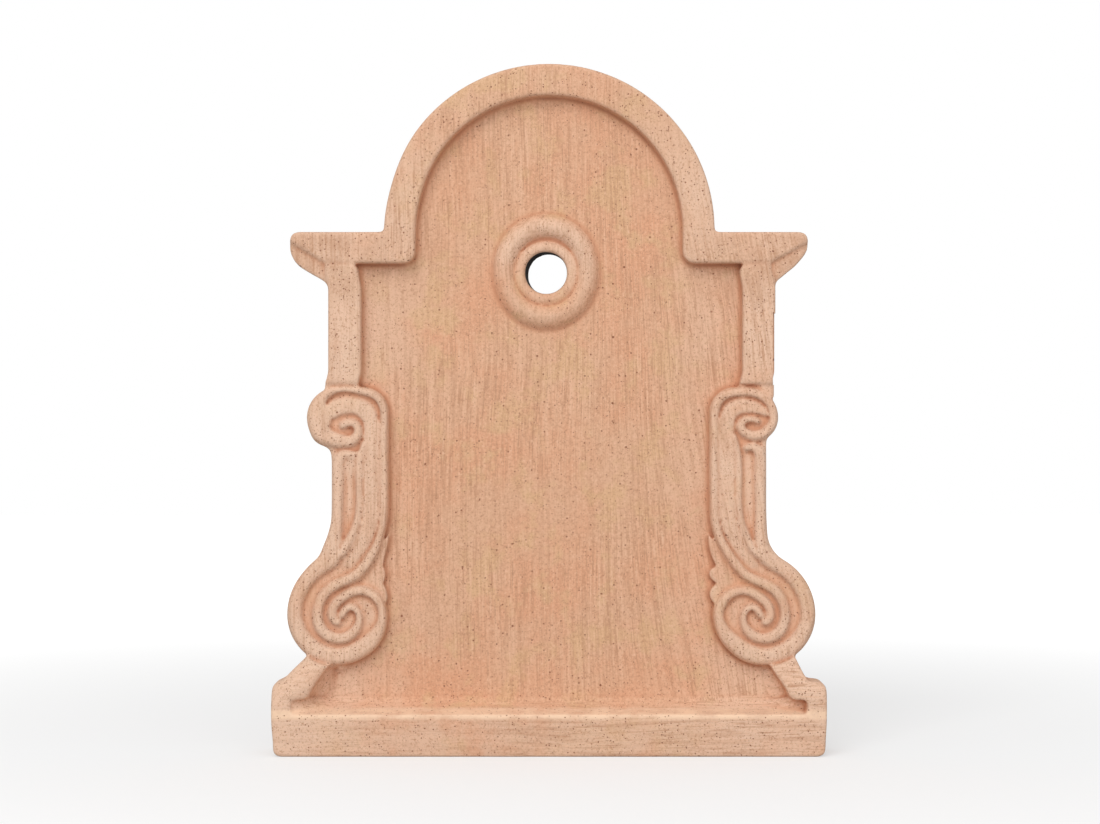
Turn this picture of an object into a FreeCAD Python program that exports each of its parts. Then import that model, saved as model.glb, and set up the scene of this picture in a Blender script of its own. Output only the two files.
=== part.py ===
import FreeCAD, Part
import math
import os

Vector = FreeCAD.Vector

# Overall frame: x runs across the front, +z is up, and the front faces -y.
# A depth is measured from the wall plane at the back towards the front.
# Every height is measured from the ground under the plinth. Sizes are in mm.

# Depths
back_hollow = 16.0          # wall plane to the back of the slab
slab_thickness = 20.0       # the plain field of the fountain
border_relief = 18.0        # arch, cornices and pilasters stand this far off the field
console_relief = 11.5       # floor of the console's channels, off the field
strand_height = 6.5         # rolled strands on the console, off its floor
band_height = 4.5           # broad band between the stem's ribs, off that floor
leaf_relief = 10.0          # leaf sprig off the field
leaf_reach = 1.5            # its tips pass the stem's inner edge by this much
leaf_notch = 7.0            # its notches stay this far short of that edge
leaf_root = 12.0            # degrees of the volute's turn left free at the leaf's root
leaf_foot_turn = 158.0      # degrees round that turn where the leaf ends
leaf_tip_drop = 24.0        # upper tip below the start of the stem's sweep
ear_drop = 4.0              # the cornice's ear lies this far behind its face
plinth_relief = 33.0        # plinth's front off the field
ramp_top_relief = 15.0      # upper end of the strap off the field
edge_round = 3.0            # softened front edges

# Plinth and its end blocks
plinth_width = 554.0
plinth_height = 42.0
plinth_fall = 5.0           # its top rises this much from the front to the slab
plinth_toe = 8.0            # rounded bottom corners
block_width = 20.0
block_height = 32.0         # block's top above the plinth's front edge
block_corner = 9.0
gap_under_strap = 14.0      # from the plinth's front edge up to the strap's lower edge
strap_inset = 39.0          # plinth's end to the strap's lower inner corner
strap_top_inset = 44.0      # volute's side to the strap's upper inner corner
strap_corner = 8.0
strap_toe_inset = {"left": 10.0, "right": 18.0}

# Arch, cornices and pilasters
cornice_top = 523.5
cornice_thickness = 31.5
arch_stilt = 2.5            # the arch's centre above the cornice's top
arch_band = 32.0
arch_leg_corner = 12.0
shoulder_length = 58.0      # arch's side to the pilaster's outer edge
ear_overhang = 35.5         # ear's end past the pilaster's outer edge
ear_nose = 8.0              # rounding of the ear's upper corner
ear_nose_height = 18.0      # upright part of the ear, down from the cornice's top
ear_waist = 37.0            # from the cornice's top to the middle of the ear's sweep
ear_foot = 57.0             # from the cornice's top to the ear's lowest point
ear_bulge = 3.5             # how far the ear has drawn in above the sweep's middle
ear_draw = 13.0             # how far it has drawn in at the sweep's middle
ear_hollow = 11.0           # hollow where the ear meets the pilaster
ear_crease_drop = 10.5      # crease's outer end below the cornice's top
pilaster_inset = 53.0       # plinth's end to the pilaster's outer edge
pilaster_width = 33.0
pilaster_length = 121.0
pilaster_corner = 9.0

# Consoles
stem_inset = 6.0            # stem's outer edge stays this far inside the pilaster's
stem_width = 57.0
volute_radius = 51.0        # large lower volute
volute_height = 140.0
volute_overhang = 47.0      # volute's side past the stem's outer edge
shoulder_radius = 63.0      # volute's upper outer sweep
waist_radius = 31.0         # hollow where the stem meets that sweep
inner_sweep_rise = 105.0    # stem's inner edge starts its sweep above the volute
cusp_turn = 76.0            # degrees round the volute's turn where that sweep ends
inner_turn_radius = 29.5    # volute's inner upper side
scroll_gap = 3.0            # groove between a pilaster and its scroll
scroll_overhang = {"left": 25.0, "right": 12.0}
scroll_top_radius = 30.5
scroll_under_radius = {"left": 31.0, "right": 24.0}
scroll_inner_radius = 25.5
neck_radius = 8.0           # hollow under the small scroll
pilaster_backing = 26.0     # slab beside the scroll, below the pilaster

# Strands on the consoles
strand_edge = 0.6           # strands stay this far inside the console's edge
strand_gap = 1.2            # least groove between two strands
stem_rib = 7.5              # inner rib of the stem
middle_rib = 6.5
outer_rib = 11.5
broad_band = 18.5           # between the inner and the middle rib
rim_side = 15.0             # outer strand on the volute's side
rim_bottom = 17.0
rim_inner = 9.5
scroll_rim = {"left": 7.5, "right": 9.0}       # upper rim of the small scroll
scroll_crest = {"left": 14.0, "right": 8.5}    # the scroll's coil at its upper corner
scroll_side = {"left": 25.0, "right": 8.5}     # at its side
scroll_flank = {"left": 19.0, "right": 10.5}   # under its side
scroll_foot = {"left": 15.0, "right": 10.5}    # at its lowest point
crest_share = 0.5           # width of a strand's crest, as a part of its width
shoulder_share = 0.88       # its width at two thirds of its height
shoulder_level = 0.65
band_crest = 0.82           # width of the broad band's flat top, in the same way

# Spout
spout_drop = 40.5           # spout's axis below the cornice's top
spout_shift = -3.0          # and off the middle, to the left
spout_radius = 21.0
collar_radius = 31.5
collar_relief = 7.0
boss_inner_radius = 33.0
boss_crest_radius = 43.5
boss_radius = 55.5
boss_relief = 11.0
boss_fullness = 1.4         # the boss's flanks bow out by this much
boss_flank = 0.7            # height of that bow, as a part of the relief

# Back of the slab
rim_width = 22.0
rim_inset = 12.0            # back rims stay this far inside the pilasters' edge
rib_thickness = 18.0
rib_relief = 12.0
lower_rib_rise = 50.0       # lower rib above the volute's centre
upper_rib_drop = 82.0       # upper rib below the spout's axis

# Values that follow from the sizes above
field_depth = back_hollow + slab_thickness
border_depth = field_depth + border_relief
floor_depth = field_depth + console_relief
plinth_depth = field_depth + plinth_relief
wall_y = plinth_depth / 2
plinth_reach = plinth_width / 2
pilaster_reach = plinth_reach - pilaster_inset
ear_reach = pilaster_reach + ear_overhang
arch_radius = pilaster_reach - shoulder_length
stem_reach = pilaster_reach - stem_inset
volute_reach = stem_reach + volute_overhang
arch_centre = cornice_top + arch_stilt
arch_inner = arch_radius - arch_band
cornice_under = cornice_top - cornice_thickness
pilaster_inner = pilaster_reach - pilaster_width
pilaster_foot = cornice_under - pilaster_length
stem_inner = stem_reach - stem_width
volute_x = volute_reach - volute_radius
shoulder_x = volute_reach - shoulder_radius
waist_x = stem_reach + waist_radius
waist_z = volute_height + math.sqrt(
    (shoulder_radius + waist_radius) ** 2 - (waist_x - shoulder_x) ** 2
)
inner_turn_x = volute_x - volute_radius + inner_turn_radius
inner_sweep_height = volute_height + inner_sweep_rise
scroll_top = pilaster_foot - scroll_gap
scroll_z = scroll_top - scroll_top_radius
scroll_inner_x = stem_inner + scroll_inner_radius
scroll_inner_z = scroll_top - scroll_inner_radius
block_inner = plinth_reach - block_width
block_top = plinth_height + block_height
strap_foot = plinth_height + gap_under_strap
strap_inner_reach = plinth_reach - strap_inset
strap_top_inner_reach = volute_reach - strap_top_inset
spout_height = cornice_top - spout_drop
lower_rib_height = volute_height + lower_rib_rise
upper_rib_height = spout_height - upper_rib_drop

touch = 0.01                # test distance for edges that lie in a plane


def on_circle(x, z, radius, degrees):
    """Point of a circle, counted from the +x side towards +z."""
    angle = math.radians(degrees)
    return (x + radius * math.cos(angle), z + radius * math.sin(angle))


def vector(point, depth):
    return Vector(point[0], wall_y - depth, point[1])


def outline(start, *steps):
    """Closed face. A step is a point, or a middle and an end point of an arc."""
    edges = []
    here = start
    for step in steps:
        if isinstance(step[0], tuple):
            middle, end = step
            arc = Part.Arc(vector(here, 0), vector(middle, 0), vector(end, 0))
            edges.append(arc.toShape())
        else:
            end = step
            edges.append(Part.makeLine(vector(here, 0), vector(end, 0)))
        here = end
    if math.dist(here, start) > touch:
        edges.append(Part.makeLine(vector(here, 0), vector(start, 0)))
    return Part.Face(Part.Wire(edges))


def prism(face, near, far):
    """Solid that stands on a face between two depths."""
    solid = face.extrude(Vector(0, near - far, 0))
    solid.translate(Vector(0, -near, 0))
    return solid


def box(x_low, x_high, z_low, z_high, near, far):
    size = (x_high - x_low, far - near, z_high - z_low)
    return Part.makeBox(*size, Vector(x_low, wall_y - far, z_low))


def soften(piece, depth, is_joint):
    """Round the free front edges and leave those that meet another piece."""
    front = wall_y - depth
    edges = []
    for edge in piece.Edges:
        bounds = edge.BoundBox
        in_front = abs(bounds.YMin - front) < touch and abs(bounds.YMax - front) < touch
        if in_front and not is_joint(edge.CenterOfMass):
            edges.append(edge)
    return piece.makeFillet(edge_round, edges)


def is_at(value, target):
    return abs(abs(value) - target) < touch


def on_side(shape, side):
    """Pieces are drawn on the +x side, and mirrored for the left."""
    if side == "left":
        return shape.mirror(Vector(0, 0, 0), Vector(1, 0, 0))
    return shape


# Outlines, drawn on the +x side

def arch_face():
    """Half-round band with two short legs between the cornices."""
    corner = (arch_inner + arch_leg_corner, cornice_under + arch_leg_corner)
    inner_corner = on_circle(*corner, arch_leg_corner, 225)
    return outline(
        (arch_radius, cornice_under),
        (arch_radius, arch_centre),
        ((0, arch_centre + arch_radius), (-arch_radius, arch_centre)),
        (-arch_radius, cornice_under),
        (-corner[0], cornice_under),
        ((-inner_corner[0], inner_corner[1]), (-arch_inner, corner[1])),
        (-arch_inner, arch_centre),
        ((0, arch_centre + arch_inner), (arch_inner, arch_centre)),
        (arch_inner, corner[1]),
        (inner_corner, (corner[0], cornice_under)),
    )


def cornice_face():
    nose = (ear_reach - ear_nose, cornice_top - ear_nose)
    return outline(
        (arch_radius, cornice_under),
        (pilaster_reach, cornice_under),
        (ear_reach, cornice_top - ear_crease_drop),
        (ear_reach, nose[1]),
        (on_circle(*nose, ear_nose, 45), (nose[0], cornice_top)),
        (arch_radius, cornice_top),
    )


def ear_face():
    """Sweep below the crease, from the nose back to the pilaster."""
    nose_low = (ear_reach, cornice_top - ear_nose_height)
    middle = (ear_reach - ear_draw, cornice_top - ear_waist)
    bulge = (ear_reach - ear_bulge, (nose_low[1] + middle[1]) / 2)
    hollow = (pilaster_reach + ear_hollow, cornice_top - ear_foot)
    return outline(
        (pilaster_reach, cornice_under),
        (ear_reach, cornice_top - ear_crease_drop),
        nose_low,
        (bulge, middle),
        on_circle(*hollow, ear_hollow, 120),
        (
            on_circle(*hollow, ear_hollow, 150),
            (pilaster_reach, cornice_top - ear_foot),
        ),
    )


def pilaster_face(foot=pilaster_foot):
    corner = (pilaster_inner + pilaster_corner, cornice_under - pilaster_corner)
    return outline(
        (pilaster_inner, foot),
        (pilaster_reach, foot),
        (pilaster_reach, cornice_under),
        (corner[0], cornice_under),
        (on_circle(*corner, pilaster_corner, 135), (pilaster_inner, corner[1])),
    )


def scroll_reach(side):
    return stem_reach + scroll_overhang[side]


def under_circle(side):
    """Centre and radius of the small scroll's lower outer quarter."""
    radius = scroll_under_radius[side]
    return scroll_reach(side) - radius, scroll_z, radius


def neck_arc(side):
    """Hollow that joins the small scroll to the stem: start, middle and end."""
    x, z, radius = under_circle(side)
    neck_x = stem_reach + neck_radius
    reach = radius + neck_radius
    neck_z = z - math.sqrt(reach ** 2 - (neck_x - x) ** 2)
    slope = math.degrees(math.atan2(neck_z - z, neck_x - x))
    start = on_circle(x, z, radius, slope)
    middle = on_circle(neck_x, neck_z, neck_radius, (slope + 360) / 2)
    return start, middle, (stem_reach, neck_z)


def inner_sweep():
    """Arc from the stem's inner edge to the volute: centre x, radius and angle."""
    end = on_circle(inner_turn_x, volute_height, inner_turn_radius, cusp_turn)
    across = end[0] - stem_inner
    down = inner_sweep_height - end[1]
    radius = (across ** 2 + down ** 2) / (2 * across)
    x = stem_inner + radius
    return x, radius, 180 + math.degrees(math.atan2(down, radius - across))


def on_sweep(share, gap=0.0):
    """Point of that arc, from its start (0) to its end at the volute (1)."""
    x, radius, end_angle = inner_sweep()
    degrees = 180 + share * (end_angle - 180)
    return on_circle(x, inner_sweep_height, radius + gap, degrees)


def console_face(side):
    """Silhouette of a console: large volute, stem and small scroll."""
    waist_angle = math.degrees(math.atan2(waist_z - volute_height, waist_x - shoulder_x))
    waist_middle = on_circle(waist_x, waist_z, waist_radius, (waist_angle + 360) / 2)
    shoulder_end = on_circle(shoulder_x, volute_height, shoulder_radius, waist_angle)
    shoulder_middle = on_circle(
        shoulder_x, volute_height, shoulder_radius, waist_angle / 2
    )
    inner_side = on_circle(
        inner_turn_x, volute_height, inner_turn_radius, (cusp_turn + 180) / 2
    )
    under_x, under_z, under_radius = under_circle(side)
    neck_start, neck_middle, neck_end = neck_arc(side)
    neck_angle = math.degrees(math.atan2(neck_start[1] - under_z, neck_start[0] - under_x))
    top_x = scroll_reach(side) - scroll_top_radius
    return outline(
        (volute_x - volute_radius, volute_height),
        ((volute_x, volute_height - volute_radius), (volute_reach, volute_height)),
        (shoulder_middle, shoulder_end),
        (waist_middle, (stem_reach, waist_z)),
        neck_end,
        (neck_middle, neck_start),
        (
            on_circle(under_x, under_z, under_radius, neck_angle / 2),
            (scroll_reach(side), scroll_z),
        ),
        (on_circle(top_x, scroll_z, scroll_top_radius, 45), (top_x, scroll_top)),
        (scroll_inner_x, scroll_top),
        (
            on_circle(scroll_inner_x, scroll_inner_z, scroll_inner_radius, 135),
            (stem_inner, scroll_inner_z),
        ),
        (stem_inner, inner_sweep_height),
        (on_sweep(0.5), on_sweep(1)),
        (inner_side, (volute_x - volute_radius, volute_height)),
    )


def block_face():
    """End block that stands on the plinth and carries the strap."""
    return outline(
        (block_inner, plinth_height),
        (plinth_reach, plinth_height),
        (plinth_reach, strap_foot),
        (block_inner, strap_foot),
    )


def strap_face(side):
    """Slanting strap from under the volute down to the top of the block."""
    corner = (plinth_reach - block_corner, block_top - block_corner)
    toe = (plinth_reach - strap_toe_inset[side], block_top)
    volute_edge = on_circle(volute_x, volute_height, volute_radius, -54)
    inner_low = (strap_inner_reach, strap_foot + strap_corner)
    inner_corner = (strap_inner_reach + strap_corner, strap_foot)
    inner_middle = on_circle(inner_corner[0], inner_low[1], strap_corner, 225)
    return outline(
        inner_corner,
        (plinth_reach, strap_foot),
        (plinth_reach, corner[1]),
        (on_circle(*corner, block_corner, 45), (corner[0], block_top)),
        toe,
        volute_edge,
        (volute_x, volute_height - volute_radius / 2),
        (strap_top_inner_reach, volute_height - volute_radius),
        inner_low,
        (inner_middle, inner_corner),
    )


def lower_field_face():
    """Right half of the field between the volute, the strap and the plinth."""
    low = plinth_height + plinth_fall
    return outline(
        (0, low),
        (block_inner, low),
        (block_inner, strap_foot),
        (strap_inner_reach + strap_corner, strap_foot),
        (strap_inner_reach, strap_foot + strap_corner),
        (strap_top_inner_reach, volute_height - volute_radius),
        (strap_top_inner_reach, volute_height),
        (0, volute_height),
    )


def leaf_face():
    """Three-lobed sprig that fills the gap between the stem and the volute."""
    turn = inner_turn_radius + strand_gap
    foot = on_circle(inner_turn_x, volute_height, turn, leaf_foot_turn)
    tip_z = inner_sweep_height - leaf_tip_drop
    tip = (stem_inner - leaf_reach, tip_z)

    def edge_point(inward, share):
        """Point at a distance inside the tip, at a share of the way down."""
        return (tip[0] + inward, tip_z - share * (tip_z - foot[1]))

    notch = leaf_reach + leaf_notch
    root_turn = cusp_turn + leaf_root
    middle_turn = (root_turn + leaf_foot_turn) / 2
    return outline(
        on_sweep(0.93, strand_gap),
        (on_sweep(0.65, strand_gap), on_sweep(0.38, strand_gap)),
        tip,
        (edge_point(1, 0.25), edge_point(notch, 0.50)),
        (edge_point(1, 0.53), edge_point(0.5, 0.61)),
        (edge_point(3, 0.67), edge_point(notch + 2, 0.72)),
        (edge_point(2, 0.80), foot),
        (
            on_circle(inner_turn_x, volute_height, turn, middle_turn),
            on_circle(inner_turn_x, volute_height, turn, root_turn),
        ),
    )


# Strands: a route of (x, z, width) points, rolled into a rounded rib

def ring_route(x, z, radius, widths):
    """Points inside a circle, each with its outer edge just within it."""
    route = []
    for degrees, width in widths:
        point = on_circle(x, z, radius - strand_edge - width / 2, degrees)
        route.append((*point, width))
    return route


def outer_ring_route(x, z, radius, widths):
    """Points outside a circle, each with its near edge just beyond it."""
    route = []
    for degrees, width in widths:
        point = on_circle(x, z, radius + strand_edge + width / 2, degrees)
        route.append((*point, width))
    return route


def in_volute(points):
    """Route points given as shares of the volute's radius, from its centre."""
    route = []
    for across, up, width in points:
        x = volute_x + across * volute_radius
        route.append((x, volute_height + up * volute_radius, width))
    return route


def scroll_bottom(side):
    x, z, radius = under_circle(side)
    return z - radius


def outer_strand_route(side):
    """From the top of the stem round the volute's rim to its eye."""
    top = scroll_bottom(side)
    x = stem_reach - strand_edge - outer_rib / 2
    inner = stem_reach - outer_rib
    return [
        (inner - 8.5, top - 6.5, 7),
        (inner - 2.5, top - 5.5, 8),
        (x - 2, top - 9.5, 10.5),
        (x, top - 19, outer_rib),
        (x, (top + waist_z) / 2, outer_rib),
        (x, waist_z + 12, outer_rib),
        *outer_ring_route(waist_x, waist_z, waist_radius, [(196, 15), (214, 18)]),
        *ring_route(
            shoulder_x, volute_height, shoulder_radius, [(57, 15), (30, rim_side)]
        ),
        *ring_route(
            volute_x,
            volute_height,
            volute_radius,
            [(0, rim_side), (-45, 17), (-90, rim_bottom), (-135, 17)],
        ),
        *ring_route(
            inner_turn_x,
            volute_height,
            inner_turn_radius,
            [(180, rim_inner), (135, rim_inner), (90, rim_inner)],
        ),
        *in_volute(
            [
                (-0.09, 0.33, 9.5),
                (0.08, 0.14, 9.5),
                (0.10, -0.05, 9),
                (0.0, -0.15, 8),
            ]
        ),
    ]


def inner_strand_route(side):
    """From the volute's eye up the stem's inner edge and round the scroll."""
    route = in_volute(
        [
            (-0.09, -0.01, 7),
            (-0.14, 0.08, 7.5),
            (-0.25, 0.15, 7),
            (-0.37, 0.09, 6.5),
            (-0.43, -0.09, 7),
            (-0.32, -0.34, 10),
            (-0.02, -0.47, 11),
            (0.31, -0.30, 11.5),
            (0.40, 0.01, 11),
            (0.36, 0.22, 10.5),
            (0.24, 0.43, 10.5),
            (0.01, 0.60, 10.5),
        ]
    )
    for share, width in [(0.88, 10), (0.66, 9.5), (0.42, 8.5), (0.19, stem_rib)]:
        inward = strand_edge + width / 2
        route.append((*on_sweep(share, -inward), width))
    x = stem_inner + strand_edge + stem_rib / 2
    route += [
        (x, inner_sweep_height + 8, stem_rib),
        (x, (inner_sweep_height + scroll_inner_z) / 2, stem_rib),
        (x, scroll_inner_z - 14, stem_rib),
    ]
    rim = scroll_rim[side]
    route += ring_route(
        scroll_inner_x,
        scroll_inner_z,
        scroll_inner_radius,
        [(175, rim), (135, rim), (90, rim)],
    )
    top_x = scroll_reach(side) - scroll_top_radius
    crest = scroll_crest[side]
    route += ring_route(top_x, scroll_z, scroll_top_radius, [(75, rim), (40, crest)])
    x, z, radius = under_circle(side)
    widths = [(0, scroll_side[side]), (-45, scroll_flank[side]), (-90, scroll_foot[side])]
    route += ring_route(x, z, radius, widths)
    curls = {
        "left": [
            (-0.54, -0.70, 11),
            (-0.67, -0.45, 8.5),
            (-0.57, -0.21, 8),
            (-0.36, -0.17, 8),
            (-0.18, -0.27, 8),
        ],
        "right": [
            (-0.46, -0.58, 9.5),
            (-0.58, -0.34, 8.5),
            (-0.42, -0.12, 7.5),
            (-0.12, -0.07, 6.5),
            (0.14, -0.17, 6),
        ],
    }
    for across, up, width in curls[side]:
        route.append((x + across * radius, z + up * radius, width))
    return route


def rib_centre():
    return stem_inner + stem_rib + broad_band + middle_rib / 2


def middle_strand_route(side):
    """Thin rib from the outer strand's waist up the stem to the small scroll."""
    rib_x = rib_centre()
    top = scroll_bottom(side)
    return [
        (waist_x - 36, waist_z - 24, 7),
        (waist_x - 46, waist_z - 17, 8),
        (rib_x + 7, waist_z - 5, 8),
        (rib_x + 2, waist_z + 12, 7),
        (rib_x, waist_z + 32, middle_rib),
        (rib_x, (waist_z + top) / 2, middle_rib),
        (rib_x, top - 24, middle_rib),
        (rib_x - 1.5, top - 8, 5.5),
        (rib_x - 4.5, top + 5, 4),
    ]


def stem_band_route(side):
    """Broad flat band up the stem, between its ribs, and over the scroll."""
    band_x = stem_inner + stem_rib + broad_band / 2
    width = broad_band - strand_gap
    turns = {
        "left": [
            (-8, -9.5, 15.5),
            (-4.4, -0.6, 18),
            (2.5, 4.8, 17.5),
            (12.5, 7, 17),
            (22.5, 6, 18),
            (30, 2, 17),
        ],
        "right": [
            (-7.7, -5.8, 15.7),
            (-3.9, 1.4, 16.5),
            (5.5, 6.2, 16),
            (16.1, 5.7, 13.9),
            (24.4, 3.3, 10.8),
            (30, -1.4, 5),
        ],
    }
    route = [
        (rib_centre() + 12, waist_z - 30, 8),
        (rib_centre() + 4, waist_z - 19, 13),
        (band_x + 7, waist_z - 4, 15),
        (band_x + 1.5, waist_z + 14, width),
        (band_x, waist_z + 36, width),
        (band_x, (waist_z + scroll_z) / 2, width),
        (band_x, scroll_z - 28, width),
        (band_x - 0.5, scroll_z - 12, 17),
    ]
    for across, up, turn_width in turns[side]:
        route.append((scroll_inner_x + across, scroll_inner_z + up, turn_width))
    return route


def strand_wire(route, share, depth):
    """Closed edge of a strand at one depth, at a share of its full width."""
    points = [vector((x, z), depth) for x, z, width in route]
    line = Part.BSplineCurve()
    line.interpolate(points)
    left = []
    right = []
    tangents = []
    for point, (x, z, width) in zip(points, route):
        tangent = line.tangent(line.parameter(point))[0]
        side = Vector(-tangent.z, 0, tangent.x) * (width * share / 2)
        tangents.append(tangent)
        left.append(point + side)
        right.append(point - side)
    right.reverse()
    left_edge = Part.BSplineCurve()
    left_edge.interpolate(left)
    right_edge = Part.BSplineCurve()
    right_edge.interpolate(right)
    far_tip = points[-1] + tangents[-1] * (route[-1][2] * share / 2)
    near_tip = points[0] - tangents[0] * (route[0][2] * share / 2)
    far_cap = Part.Arc(left[-1], far_tip, right[0])
    near_cap = Part.Arc(right[-1], near_tip, left[0])
    edges = [
        left_edge.toShape(),
        far_cap.toShape(),
        right_edge.toShape(),
        near_cap.toShape(),
    ]
    return Part.Wire(edges)


def strand(route, height=strand_height, crest=crest_share):
    """Rounded rib on the console's floor, along a route."""
    levels = [(0, 1), (shoulder_level, shoulder_share), (1, crest)]
    wires = []
    for level, share in levels:
        wires.append(strand_wire(route, share, floor_depth + level * height))
    return Part.makeLoft(wires, True, True)


def stem_band(side):
    """Broad band, its lower end fading into the console's floor."""
    band = strand(stem_band_route(side), band_height, band_crest)
    low = waist_z - 45
    fade = Part.makePolygon(
        [
            vector((0, low), floor_depth),
            vector((0, waist_z + 8), floor_depth + band_height),
            vector((0, waist_z + 8), plinth_depth),
            vector((0, low), plinth_depth),
            vector((0, low), floor_depth),
        ]
    )
    return band.cut(Part.Face(fade).extrude(Vector(plinth_width, 0, 0)))


# Pieces

def plinth():
    """Full-depth foot, its top falling a little towards the front."""
    half = plinth_reach
    toe = (half - plinth_toe, plinth_toe)
    front = outline(
        (-half, plinth_height + plinth_fall),
        (-half, toe[1]),
        (on_circle(-toe[0], toe[1], plinth_toe, 225), (-toe[0], 0)),
        (toe[0], 0),
        (on_circle(*toe, plinth_toe, -45), (half, toe[1])),
        (half, plinth_height + plinth_fall),
    )
    solid = prism(front, 0, plinth_depth)
    slope = Part.makePolygon(
        [
            vector((-half, plinth_height + plinth_fall), field_depth),
            vector((-half, plinth_height), plinth_depth),
            vector((-half, plinth_height + plinth_fall), plinth_depth),
            vector((-half, plinth_height + plinth_fall), field_depth),
        ]
    )
    wedge = Part.Face(slope).extrude(Vector(plinth_width, 0, 0))
    return solid.cut(wedge)


def plinth_block(base):
    return prism(block_face(), field_depth, plinth_depth).cut(base)


def strap(side, console):
    """Ramp that falls back from the block's face to the volute."""
    solid = prism(strap_face(side), field_depth, plinth_depth)
    top = volute_height - volute_radius / 2
    profile = Part.makePolygon(
        [
            vector((0, strap_foot), 0),
            vector((0, strap_foot), plinth_depth),
            vector((0, strap_foot + block_corner), plinth_depth),
            vector((0, top), field_depth + ramp_top_relief),
            vector((0, top), 0),
            vector((0, strap_foot), 0),
        ]
    )
    ramp = Part.Face(profile).extrude(Vector(plinth_width, 0, 0))
    return solid.common(ramp).cut(console)


def arch_moulding():
    band = prism(arch_face(), field_depth, border_depth)

    def is_joint(point):
        low = point.z < arch_centre
        return low and is_at(point.x, arch_radius)

    return soften(band, border_depth, is_joint)


def cornice():
    bar = prism(cornice_face(), field_depth, border_depth)

    def is_joint(point):
        return is_at(point.x, arch_radius)

    return soften(bar, border_depth, is_joint)


def cornice_ear():
    return prism(ear_face(), field_depth, border_depth - ear_drop)


def pilaster():
    bar = prism(pilaster_face(), field_depth, border_depth)

    def is_joint(point):
        return is_at(point.z, cornice_under)

    return soften(bar, border_depth, is_joint)


def spout_section_point(point):
    radius, depth = point
    return Vector(spout_shift + radius, wall_y - depth, spout_height)


def ring_about_spout(points):
    """Turn a section of (radius, depth) points about the spout's axis."""
    edges = []
    here = points[0]
    for step in points[1:]:
        start = spout_section_point(here)
        if isinstance(step[0], tuple):
            middle, end = step
            arc = Part.Arc(start, spout_section_point(middle), spout_section_point(end))
            edges.append(arc.toShape())
        else:
            end = step
            edges.append(Part.makeLine(start, spout_section_point(end)))
        here = end
    section = Part.Face(Part.Wire(edges))
    return section.revolve(Vector(spout_shift, 0, spout_height), Vector(0, 1, 0), 360)


def spout_boss():
    crest = (boss_crest_radius, field_depth + boss_relief)
    flank = field_depth + boss_flank * boss_relief
    outer_middle = (boss_crest_radius + boss_radius) / 2 + boss_fullness
    inner_middle = (boss_crest_radius + boss_inner_radius) / 2 - boss_fullness
    return ring_about_spout(
        [
            (boss_inner_radius, field_depth),
            ((inner_middle, flank), crest),
            ((outer_middle, flank), (boss_radius, field_depth)),
            (boss_inner_radius, field_depth),
        ]
    )


def spout_collar():
    """Small raised lip round the spout's hole."""
    middle = (spout_radius + collar_radius) / 2
    low = field_depth + collar_relief / 2
    return ring_about_spout(
        [
            (spout_radius, field_depth),
            (spout_radius, low),
            ((middle, field_depth + collar_relief), (collar_radius, low)),
            (collar_radius, field_depth),
            (spout_radius, field_depth),
        ]
    )


def spout_hole():
    axis = Vector(spout_shift, wall_y - plinth_depth, spout_height)
    return Part.makeCylinder(spout_radius, plinth_depth, axis, Vector(0, 1, 0))


def field_slab(consoles, straps):
    """One slab behind every relief piece, with their common silhouette."""
    arch_disc = Part.Face(Part.Wire(Part.makeCircle(
        arch_radius, Vector(0, wall_y, arch_centre), Vector(0, 1, 0)
    )))
    layers = [prism(arch_disc, back_hollow, field_depth)]
    low = plinth_height + plinth_fall
    stem = (stem_inner + stem_reach) / 2
    thickness = (back_hollow, field_depth)
    layers.append(box(-arch_radius, arch_radius, cornice_under, arch_centre, *thickness))
    layers.append(box(-pilaster_inner, pilaster_inner, scroll_z, cornice_under, *thickness))
    layers.append(box(-stem, stem, low, scroll_z, *thickness))
    outlines = [
        cornice_face(),
        ear_face(),
        pilaster_face(pilaster_foot - pilaster_backing),
        block_face(),
        lower_field_face(),
    ]
    for side in ("left", "right"):
        for face in outlines:
            layers.append(on_side(prism(face, *thickness), side))
        layers.append(on_side(prism(consoles[side], *thickness), side))
        layers.append(on_side(prism(straps[side], *thickness), side))
    slab = layers[0].multiFuse(layers[1:]).removeSplitter()
    under_plinth = box(-plinth_width, plinth_width, 0, low, 0, plinth_depth)
    return slab.cut(under_plinth).cut(spout_hole())


def arch_back_rim():
    """Half-round wall behind the arch, from the shoulders' rims up."""
    outer = arch_radius - rim_inset
    inner = outer - rim_width
    face = outline(
        (outer, arch_centre),
        ((0, arch_centre + outer), (-outer, arch_centre)),
        (-inner, arch_centre),
        ((0, arch_centre + inner), (inner, arch_centre)),
    )
    return prism(face, 0, back_hollow)


def side_back_rim():
    """Wall behind a pilaster and its console, turned in under the arch."""
    outer = pilaster_reach - rim_inset
    shoulder_outer = arch_radius - rim_inset
    shoulder_inner = shoulder_outer - rim_width
    top = cornice_top - rim_inset
    face = outline(
        (outer - rim_width, plinth_height + plinth_fall),
        (outer, plinth_height + plinth_fall),
        (outer, top),
        (shoulder_outer, top),
        (shoulder_outer, arch_centre),
        (shoulder_inner, arch_centre),
        (shoulder_inner, top - rim_width),
        (outer - rim_width, top - rim_width),
    )
    return prism(face, 0, back_hollow)


def back_rib(height):
    """Flat stiffening bar across the back, short of the wall plane."""
    reach = pilaster_reach - rim_inset - rim_width
    half = rib_thickness / 2
    near_wall = back_hollow - rib_relief
    return box(-reach, reach, height - half, height + half, near_wall, back_hollow)


def export(shape, name):
    shape.exportStep(os.path.join("parts", name + ".step"))


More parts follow.
